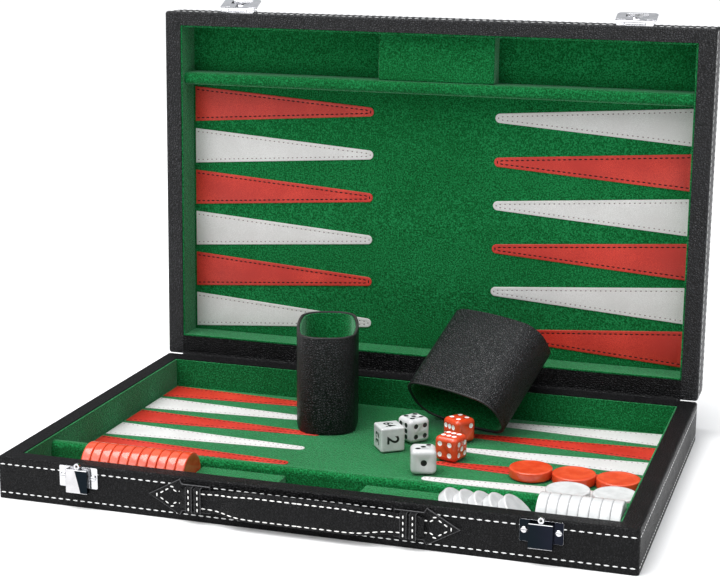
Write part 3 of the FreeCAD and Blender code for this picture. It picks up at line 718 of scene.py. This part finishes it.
def points_and_thread():
    pitch = (FIELD_BACK - FIELD_FRONT) / 6
    levels = ((0.0, 0.0), (0.0, 0.34), (0.12, 0.46), (0.35, 0.5), (2.0, 0.5), (2.35, 0.42), (2.8, 0.5))
    for half, place, flip in (("base", UNTURNED, 1), ("lid", OPEN, -1)):
        field = FIELD_Z if half == "base" else 2 * RIM_Z - FIELD_Z
        made = {"red": ([], [], []), "white": ([], [], [])}
        for side in (-1, 1):
            for row in range(6):
                red = (row % 2 == 0) == ((side == -1) == (half == "base"))
                verts, faces, paths = made["red" if red else "white"]
                y = FIELD_BACK - pitch * (row + 0.5)

                def on(u, v, rise):
                    return (side * (FELT_X - u), y + v, field + flip * rise)

                start = len(verts)
                count = 0
                for shrink, rise in levels:
                    ring = point_outline(shrink * MM)
                    count = len(ring)
                    verts.extend(on(u, v, rise * MM) for u, v in ring)
                for k in range(len(levels) - 1):
                    for i in range(count):
                        a = start + k * count + i
                        b = start + k * count + (i + 1) % count
                        faces.append((a, b, b + count, a + count))
                faces.append(tuple(start + i for i in range(count)))
                last = start + (len(levels) - 1) * count
                faces.append(tuple(last + i for i in range(count)))
                line = point_outline(2.2 * MM)
                paths.append([place @ Vector(on(u, v, 0.45 * MM)) for u, v in line])
        outward = place.to_3x3() @ Vector((0, 0, flip))
        for colour, leather, cotton, slot, pace, dash, wide in (
                ("red", RED_LEATHER, RED_THREAD, "red_leather", 3.6, 2.6, 1.0),
                ("white", WHITE_LEATHER, PALE_THREAD, "white_leather", 3.4, 1.3, 0.9)):
            verts, faces, paths = made[colour]
            put(half + "_" + colour + "_leather_points", verts, faces, leather, half,
                [half + "_" + colour + "_points"], place)
            sew(half + "_" + colour + "_point_stitches", paths, outward, cotton, half,
                pace * MM, dash * MM, wide * MM, 0.3 * MM)


# ======================= handle =======================

def ease(value, low, high):
    t = min(1.0, max(0.0, (value - low) / (high - low)))
    return t * t * (3 - 2 * t)


def strap_size(x):
    """Half width, thickness and the back's distance from the case front, in millimetres."""
    middle = 1 - ease(abs(x), 36, 52)
    end = ease(abs(x), 68, 73)
    half = 6.5 + 2.3 * (1 - ease(abs(x), 26, 60)) - 1.0 * end
    return half, 2.2 + 3.8 * middle - 0.5 * end, 1.5


def strap_point(x, turn):
    half, thick, stand = strap_size(x)
    c, s = math.cos(turn), math.sin(turn)
    power = 0.5
    across = math.copysign(abs(c) ** power, c) * half
    out = math.copysign(abs(s) ** (power + 0.12), s) * thick / 2
    return (x * MM, FRONT_Y - (stand + thick / 2 + out) * MM, HANDLE_Z + across * MM)


def strap_half(side):
    around = 40
    stations = [0, 4, 8, 12, 16, 20, 24, 28, 32, 36, 38, 40, 42, 44, 46, 48, 50, 52, 55, 58, 61, 64, 67, 70,
                72, 73]
    verts, faces = [], []
    for x in stations:
        verts.extend(strap_point(side * x, 2 * math.pi * i / around) for i in range(around))
    for k in range(len(stations) - 1):
        for i in range(around):
            a, b = k * around + i, k * around + (i + 1) % around
            faces.append((a, b, b + around, a + around))
    faces.append(tuple(range(around)))
    last = (len(stations) - 1) * around
    faces.append(tuple(last + i for i in range(around)))
    name = "left" if side < 0 else "right"
    strap = put("handle_strap_" + name, verts, faces, BLACK_LEATHER, None)
    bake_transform(strap)
    paths = []
    for level in (-1, 1):
        path = []
        for i in range(40):
            x = 1.5 + i * 57.0 / 39
            half, thick, stand = strap_size(x)
            inset = half - 2.1
            share = (inset / half) ** 2
            out = thick / 2 * (1 - share ** 2) ** 0.31
            path.append((side * x * MM, FRONT_Y - (stand + thick / 2 + out) * MM,
                         HANDLE_Z + level * inset * MM))
        paths.append(path)
    rows = sew("handle_stitches_" + name, paths, (0, -1, 0), WHITE_THREAD, None, 4.4 * MM)
    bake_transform(rows)
    return strap


def handle():
    left = strap_half(-1)
    strap_half(1)
    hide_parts("handle_grip", "handle_strap_ends")
    refined("handle_tabs", BLACK_LEATHER, 0.4 * MM, 3, "handle_arrow_tabs", edge=CUT_LEATHER)
    refined("handle_keepers", BLACK_LEATHER, 0.3 * MM, 2, "handle_keeper_loops",
            edge=CUT_LEATHER)
    outlines, bands = [], []
    front = FRONT_Y - 1.2 * MM
    keeper_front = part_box("handle_keepers")[0].y
    for side in (-1, 1):
        outline = [(69.6, -3.6), (76.8, -3.5), (77.9, -6.4), (88.2, 0), (77.9, 6.4), (76.8, 3.5), (69.6, 3.6)]
        outlines.append([(side * x * MM, front, HANDLE_Z + z * MM) for x, z in outline])
        for x in (61.5, 67.0):
            bands.append([(side * x * MM, keeper_front, HANDLE_Z + z * MM) for z in (-5.4, 5.4)])
    sew("tab_stitches", outlines, (0, -1, 0), WHITE_THREAD, "base", 3.6 * MM, 2.5 * MM)
    sew("keeper_stitches", bands, (0, -1, 0), WHITE_THREAD, "base", 3.2 * MM, 2.2 * MM)


# ======================= metal =======================

def fittings():
    for name in ("left", "right"):
        # Latch faces take the chrome copies with painted reflections; their rounded edges stay plain chrome.
        face = LEFT_LATCH_PAINTED_REFLECTION_CHROME if name == "left" else RIGHT_LATCH_PAINTED_DARK_CHROME
        flat = CHROME if name == "left" else RIGHT_LATCH_PAINTED_DARK_CHROME
        refined("latch_plate_" + name, flat, 0.38 * MM, edge=CHROME)
        refined("latch_housing_" + name, face, 0.5 * MM, edge=CHROME)
        refined("latch_button_" + name, CHROME, 0.12 * MM)
        refined("hasp_plate_" + name, CHROME, 0.12 * MM)
        refined("hasp_flap_" + name, CHROME, 0.12 * MM)
        refined("hasp_pin_" + name, CHROME, 0.08 * MM)
        paint(SPRING_STEEL, "latch_spring_" + name)
    refined("latch_screws", CHROME, 0.06 * MM)
    refined("hasp_screws", CHROME, 0.06 * MM)


# ======================= dice cups =======================

CUP_LONG, CUP_THIN, CUP_HEIGHT = 74.0, 41.6, 66.0
CUP_CORNER, CUP_SIDE, CUP_END = 15.0, 170.0, 60.0
STANDING_TURN = 108.0
LEANING_AZIMUTH, LEANING_RISE, LEANING_ROLL = 23.4, 39.1, -2.1


def cup_outline(inset):
    """The cup's outline in millimetres: bowed sides and ends, round corners, drawn inwards by inset."""
    side_up = CUP_SIDE - CUP_THIN / 2
    end_out = CUP_END - CUP_LONG / 2
    cx, cy = CUP_LONG / 2 - CUP_CORNER, CUP_THIN / 2 - CUP_CORNER
    for _ in range(40):
        cy = math.sqrt((CUP_SIDE - CUP_CORNER) ** 2 - cx ** 2) - side_up
        cx = math.sqrt((CUP_END - CUP_CORNER) ** 2 - cy ** 2) - end_out
    side_turn = math.atan2(cy + side_up, cx)
    end_turn = math.atan2(cy, cx + end_out)
    share = 36
    turns = []
    for i in range(share):
        t = (i + 0.5) / share
        if t < 0.12:
            turns.append(end_turn * t / 0.12)
        elif t < 0.72:
            turns.append(end_turn + (side_turn - end_turn) * (t - 0.12) / 0.6)
        else:
            turns.append(side_turn + (math.pi / 2 - side_turn) * (t - 0.72) / 0.28)
    turns += [math.pi - a for a in reversed(turns)]
    turns += [a + math.pi for a in turns]
    outline = []
    for a in turns:
        c, s = math.cos(a), math.sin(a)
        lean = math.atan2(abs(s), abs(c))
        if lean > side_turn:
            outline.append(((CUP_SIDE - inset) * c, (CUP_SIDE - inset) * s - math.copysign(side_up, s)))
        elif lean < end_turn:
            outline.append(((CUP_END - inset) * c - math.copysign(end_out, c), (CUP_END - inset) * s))
        else:
            outline.append((math.copysign(cx, c) + (CUP_CORNER - inset) * c,
                            math.copysign(cy, s) + (CUP_CORNER - inset) * s))
    return outline


def cup_rings(name, rings, material, body, replaced, place, closed=True, cap=()):
    """A wall swept round the outline through (inset, height) stations, in millimetres."""
    verts, faces = [], []
    count = 0
    for inset, z in rings:
        ring = cup_outline(inset)
        count = len(ring)
        verts.extend((x * MM, y * MM, z * MM) for x, y in ring)
    total = len(rings)
    for k in range(total if closed else total - 1):
        for i in range(count):
            a, b = k * count + i, k * count + (i + 1) % count
            c, d = ((k + 1) % total) * count + (i + 1) % count, ((k + 1) % total) * count + i
            faces.append((a, b, c, d))
    for k in cap:
        faces.append(tuple(k * count + i for i in range(count)))
    return put(name, verts, faces, material, body, replaced, place)


def cup(name, place):
    wall, lining = 2.0, 1.0
    h = CUP_HEIGHT
    shell = [(0.5, 0.0), (0.15, 0.12), (0.0, 0.5), (0.0, h * 0.3), (0.0, h * 0.7), (0.0, h - 1.4),
             (0.12, h - 1.05), (wall, h - 1.05), (wall, 0.1), (1.5, 0.0)]
    cup_rings(name + "_leather", shell, CUP_LEATHER, name, [name + "_shell"], place)
    rim = [(0.12, h - 1.0), (0.05, h - 0.5), (0.3, h - 0.12), (0.8, h), (1.3, h - 0.02), (1.8, h - 0.3),
           (wall, h - 1.0)]
    cup_rings(name + "_rim", rim, CUP_EDGE, name, (), place)
    felt = [(wall + 0.02, h - 1.4), (wall + 0.35, h - 0.95), (wall + 0.8, h - 1.2), (wall + lining, h - 1.8),
            (wall + lining, 6.0), (wall + lining + 0.5, 4.6), (wall + lining + 1.6, 3.85),
            (wall + lining + 1.6, 2.85), (wall + 0.02, 2.85)]
    cup_rings(name + "_felt", felt, GREEN_FELT, name, [name + "_lining"], place)
    floor = [(wall + 0.4, 2.85), (wall + lining + 1.2, 3.8), (wall + lining + 3, 3.82)]
    cup_rings(name + "_floor_felt", floor, GREEN_FELT, name, (), place, False, (0, 2))
    base = [(wall + 0.35, 0.8), (wall + 0.05, 1.1), (wall + 0.02, 2.8)]
    cup_rings(name + "_base_disc", base, CUP_BOARD, name, [name + "_base"], place, False, (0, 2))


def cups():
    low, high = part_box("cup_standing_shell")
    centre = (low + high) / 2
    spin = Matrix.Rotation(math.radians(STANDING_TURN), 4, "Z")
    cup("cup_standing", Matrix.Translation((centre.x, centre.y, low.z)) @ spin)
    az, rise, roll = (math.radians(a) for a in (LEANING_AZIMUTH, LEANING_RISE, LEANING_ROLL))
    axis = Vector((math.sin(az) * math.cos(rise), math.cos(az) * math.cos(rise), math.sin(rise)))
    level = axis.cross(Vector((0, 0, 1))).normalized()
    across = level.cross(axis)
    wide = level * math.cos(roll) + across * math.sin(roll)
    up = -axis
    thin = up.cross(wide)
    turn = Matrix((wide, thin, up)).transposed().to_4x4()
    low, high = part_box("cup_leaning_shell")
    middle = (low + high) / 2
    cup("cup_leaning", Matrix.Translation(middle - up * (CUP_HEIGHT / 2 * MM)) @ turn)


# ======================= checkers and dice =======================

def lathe(profile, steps):
    """Rings (radius, height) turned about Z, closed at both ends by a centre point."""
    verts, faces = [], []
    for r, z in profile:
        for i in range(steps):
            a = 2 * math.pi * i / steps
            verts.append((r * math.cos(a), r * math.sin(a), z))
    low, high = len(verts), len(verts) + 1
    verts += [(0, 0, profile[0][1]), (0, 0, profile[-1][1])]
    last = (len(profile) - 1) * steps
    for i in range(steps):
        n = (i + 1) % steps
        faces.append((low, n, i))
        faces.append((high, last + i, last + n))
        for k in range(len(profile) - 1):
            a = k * steps
            faces.append((a + i, a + n, a + steps + n, a + steps + i))
    return verts, faces


def checker_shape(radius, thick):
    """A moulded disc: rounded rim, faint raised ring and a flat middle."""
    h = thick / 2
    half = [(radius * 0.55, h - 0.12 * MM), (radius * 0.80, h - 0.10 * MM), (radius * 0.86, h - 0.02 * MM),
            (radius - 0.95 * MM, h), (radius - 0.5 * MM, h - 0.09 * MM), (radius - 0.2 * MM, h - 0.29 * MM),
            (radius - 0.04 * MM, h - 0.62 * MM), (radius, h - 1.0 * MM)]
    profile = [(r, -z) for r, z in half] + [(r, z) for r, z in reversed(half)]
    return lathe(profile, 56)


def checkers():
    for node, name, material, slot in (
            ("checkers_red_rack", "red_checkers_in_trough", RED_PLASTIC, "red_plastic"),
            ("checkers_red_board", "red_checkers_on_board", RED_PLASTIC, "red_plastic"),
            ("checkers_white_rack", "white_checkers_in_trough", WHITE_PLASTIC, "white_plastic"),
            ("checkers_white_leaning", "white_checkers_leaning", WHITE_PLASTIC, "white_plastic"),
            ("checkers_white_board", "white_checkers_on_board", WHITE_PLASTIC, "white_plastic")):
        verts, faces = [], []
        for cloud in islands(node):
            centre = (cloud.min(0) + cloud.max(0)) / 2
            spread = cloud - cloud.mean(0)
            vectors = np.linalg.eigh(spread.T @ spread)[1]
            normal = Vector(vectors[:, 0])
            along = spread @ vectors[:, 0]
            thick = float(along.max() - along.min())
            radius = float(np.sqrt(((spread - np.outer(along, vectors[:, 0])) ** 2).sum(1)).max())
            turn = normal.to_track_quat("Z", "Y").to_matrix().to_4x4()
            place = Matrix.Translation(Vector(centre)) @ turn
            shape, sides = checker_shape(radius, thick)
            first = len(verts)
            verts.extend(tuple(place @ Vector(v)) for v in shape)
            faces.extend(tuple(first + i for i in f) for f in sides)
        put(name, verts, faces, material, node, [node])


DIE_HALF = 8.0 * MM
PIP_RADIUS, SINGLE_PIP_RADIUS = 1.65, 2.0
DOUBLING_CUBE_TURN = 35.9
PIP_SPREAD = 3.5
SIX_SPREAD = (3.0, 3.9)
PIPS = {1: ((0, 0),), 2: ((-1, -1), (1, 1)), 3: ((-1, -1), (0, 0), (1, 1)),
        4: ((-1, -1), (-1, 1), (1, -1), (1, 1)), 5: ((-1, -1), (-1, 1), (0, 0), (1, -1), (1, 1)),
        6: ((-1, -1), (-1, 0), (-1, 1), (1, -1), (1, 0), (1, 1))}


def pip_places(count):
    """Pip centres in metres; the six stands taller than it is wide."""
    wide, tall = SIX_SPREAD if count == 6 else (PIP_SPREAD, PIP_SPREAD)
    return [(u * wide * MM, v * tall * MM) for u, v in PIPS[count]]


def face_turns(top, front, right):
    """Which way each numbered face looks, opposite faces adding to seven."""
    quarter = math.pi / 2
    return {top: Matrix.Identity(4), 7 - top: Matrix.Rotation(math.pi, 4, "X"),
            front: Matrix.Rotation(quarter, 4, "X"), 7 - front: Matrix.Rotation(-quarter, 4, "X"),
            right: Matrix.Rotation(quarter, 4, "Y"), 7 - right: Matrix.Rotation(-quarter, 4, "Y")}


def dice():
    pip = [(1.35 * MM, -0.52 * MM), (1.62 * MM, -0.25 * MM), (1.66 * MM, -0.02 * MM), (1.5 * MM, 0.0),
           (1.2 * MM, -0.14 * MM), (0.8 * MM, -0.26 * MM), (0.3 * MM, -0.32 * MM)]
    for node, shown, six_turned, yaw, body_finish, mark, slot in (
            ("die_white_front", (3, 1, 5), False, 18.5, WHITE_PLASTIC, DARK_INK, "white_plastic"),
            ("die_white_back", (5, 4, 1), True, 50.9, WHITE_PLASTIC, DARK_INK, "white_plastic"),
            ("die_red_front", (6, 5, 3), False, 73.2, RED_PLASTIC, WHITE_INK, "red_plastic"),
            ("die_red_back", (4, 2, 1), False, 52.5, RED_PLASTIC, WHITE_INK, "red_plastic")):
        refined(node, body_finish, 0, name=node + "_moulded")
        low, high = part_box(node)
        place = Matrix.Translation((low + high) / 2) @ Matrix.Rotation(math.radians(yaw), 4, "Z")
        verts, faces = [], []
        dot, sides = lathe(pip, 24)
        for count, turn in face_turns(*shown).items():
            grow = SINGLE_PIP_RADIUS / PIP_RADIUS if count == 1 else 1.0
            spin = Matrix.Rotation(math.pi / 2 if count == 6 and six_turned else 0, 4, "Z")
            for u, v in pip_places(count):
                first = len(verts)
                spot = (place @ turn @ spin @ Matrix.Translation((u, v, DIE_HALF))
                        @ Matrix.Diagonal((grow, grow, 1, 1)))
                verts.extend(tuple(spot @ Vector(p)) for p in dot)
                faces.extend(tuple(first + i for i in f) for f in sides)
        put(node + "_pips", verts, faces, mark, node, ())
    doubling_cube()


def doubling_cube():
    refined("doubling_cube", WHITE_PLASTIC, 0, name="doubling_cube_moulded")
    low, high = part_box("doubling_cube")
    place = Matrix.Translation((low + high) / 2) @ Matrix.Rotation(math.radians(DOUBLING_CUBE_TURN), 4, "Z")
    quarter = math.pi / 2
    marks = []
    for text, turn, spin in (
            ("2", Matrix.Rotation(quarter, 4, "X"), -quarter),
            ("64", Matrix.Identity(4), -quarter),
            ("32", Matrix.Rotation(-quarter, 4, "Z") @ Matrix.Rotation(quarter, 4, "X"), quarter),
            ("4", Matrix.Rotation(quarter, 4, "Z") @ Matrix.Rotation(quarter, 4, "X"), 0),
            ("8", Matrix.Rotation(math.pi, 4, "Z") @ Matrix.Rotation(quarter, 4, "X"), 0),
            ("16", Matrix.Rotation(math.pi, 4, "X"), 0)):
        curve = bpy.data.curves.new("numeral", "FONT")
        curve.body = text
        curve.size = (11.0 if len(text) == 1 else 9.0) * MM
        curve.align_x = "CENTER"
        curve.align_y = "CENTER"
        curve.offset = 0.22 * MM
        curve.extrude = 0.03 * MM
        curve.resolution_u = 6
        obj = bpy.data.objects.new("numeral", curve)
        bpy.context.scene.collection.objects.link(obj)
        bpy.context.view_layer.update()
        mesh = bpy.data.meshes.new_from_object(obj)
        xs = [v.co.x for v in mesh.vertices]
        ys = [v.co.y for v in mesh.vertices]
        proud = 0.02 * MM
        shift = Matrix.Translation((-(min(xs) + max(xs)) / 2, -(min(ys) + max(ys)) / 2,
                                    DIE_HALF + proud))
        mesh.transform(place @ turn @ Matrix.Rotation(spin, 4, "Z") @ shift)
        bpy.data.objects.remove(obj)
        mesh.materials.clear()
        mesh.materials.append(DARK_INK)
        piece = bpy.data.objects.new("numeral_" + text, mesh)
        bpy.context.scene.collection.objects.link(piece)
        marks.append(piece)
    piece = joined("doubling_cube_numerals", marks, "doubling_cube")


# ======================= stage =======================

FLOOR_HALF, FLOOR_Z = 14.0, -0.0003
LENS, SHIFT_X, SHIFT_Y = 84.75, -0.0440, -0.0146
CAMERA_PLACE = (0.309, -0.976, 0.355)
CAMERA_AZIMUTH, CAMERA_FALL, CAMERA_ROLL = 16.77, 12.78, 0.61

def area_light(name, place, target, size, power):
    lamp = bpy.data.lights.new(name, "AREA")
    lamp.shape = "RECTANGLE"
    lamp.size, lamp.size_y = size
    lamp.energy = power
    obj = bpy.data.objects.new(name, lamp)
    aim = (Vector(target) - Vector(place)).to_track_quat("-Z", "Y")
    obj.matrix_world = Matrix.Translation(place) @ aim.to_matrix().to_4x4()
    bpy.context.scene.collection.objects.link(obj)


def stage_and_camera():
    scene = bpy.context.scene
    f = Finish("pale_floor", 0.8)
    f.colour(f.mixed(f.spread(f.noise(0.4, 2.0), 0.3, 0.7), (0.86, 0.86, 0.86, 1), (0.89, 0.89, 0.89, 1)))
    f.set(Specular_IOR_Level=0.1)
    corners = [(FLOOR_HALF * x, FLOOR_HALF * y, FLOOR_Z) for x, y in ((-1, -1), (1, -1), (1, 1), (-1, 1))]
    floor = put("floor", corners, [(0, 1, 2, 3)], f.material, None, smooth=False, fix=False)
    world = bpy.data.worlds.new("soft_studio")
    world.use_nodes = True
    sky = world.node_tree
    look = sky.nodes.new("ShaderNodeTexCoord")
    split = sky.nodes.new("ShaderNodeSeparateXYZ")
    ramp = sky.nodes.new("ShaderNodeValToRGB")
    ramp.color_ramp.elements[0].position = 0.30
    ramp.color_ramp.elements[0].color = (0.16, 0.165, 0.17, 1)
    ramp.color_ramp.elements[1].position = 0.70
    ramp.color_ramp.elements[1].color = (0.95, 0.97, 1.0, 1)
    sky.links.new(look.outputs["Generated"], split.inputs["Vector"])
    sky.links.new(split.outputs["Z"], ramp.inputs["Fac"])
    sky.links.new(ramp.outputs["Color"], sky.nodes["Background"].inputs["Color"])
    sky.nodes["Background"].inputs["Strength"].default_value = 0.75
    scene.world = world
    lamp = bpy.data.lights.new("ceiling_glow", "SUN")
    lamp.energy = 2.3
    lamp.angle = math.radians(70)
    glow = bpy.data.objects.new("ceiling_glow", lamp)
    glow.matrix_world = (Vector((0.18, 0.42, -1)).to_track_quat("-Z", "Y")).to_matrix().to_4x4()
    scene.collection.objects.link(glow)
    area_light("top_softbox", (-0.7, -0.3, 2.6), (0, 0.0, 0), (1.6, 1.6), 44)
    area_light("front_fill", (-1.3, -2.1, 1.3), (0, 0.1, 0.12), (1.2, 1.2), 6)
    area_light("right_edge", (1.9, -0.5, 0.9), (0.1, 0.0, 0.1), (0.5, 1.2), 4)
    camera = bpy.data.cameras.new("camera")
    camera.sensor_width = 36.0
    camera.lens = LENS
    camera.shift_x = SHIFT_X
    camera.shift_y = SHIFT_Y
    camera.clip_start = 0.05
    camera.clip_end = 60
    az, el, roll = (math.radians(a) for a in (CAMERA_AZIMUTH, CAMERA_FALL, CAMERA_ROLL))
    ahead = Vector((-math.sin(az) * math.cos(el), math.cos(az) * math.cos(el), -math.sin(el)))
    right = ahead.cross(Vector((0, 0, 1))).normalized()
    up = right.cross(ahead)
    level = right * math.cos(roll) + up * math.sin(roll)
    rise = up * math.cos(roll) - right * math.sin(roll)
    turn = Matrix((level, rise, -ahead)).transposed().to_4x4()
    obj = bpy.data.objects.new("camera", camera)
    obj.matrix_world = Matrix.Translation(CAMERA_PLACE) @ turn
    scene.collection.objects.link(obj)
    scene.camera = obj
    scene.view_settings.view_transform = "Standard"


stage_and_camera()
case_leather()
case_stitches()
hinge_fold()
felt_work()
points_and_thread()
handle()
fittings()
cups()
checkers()
dice()

bpy.context.view_layer.update()
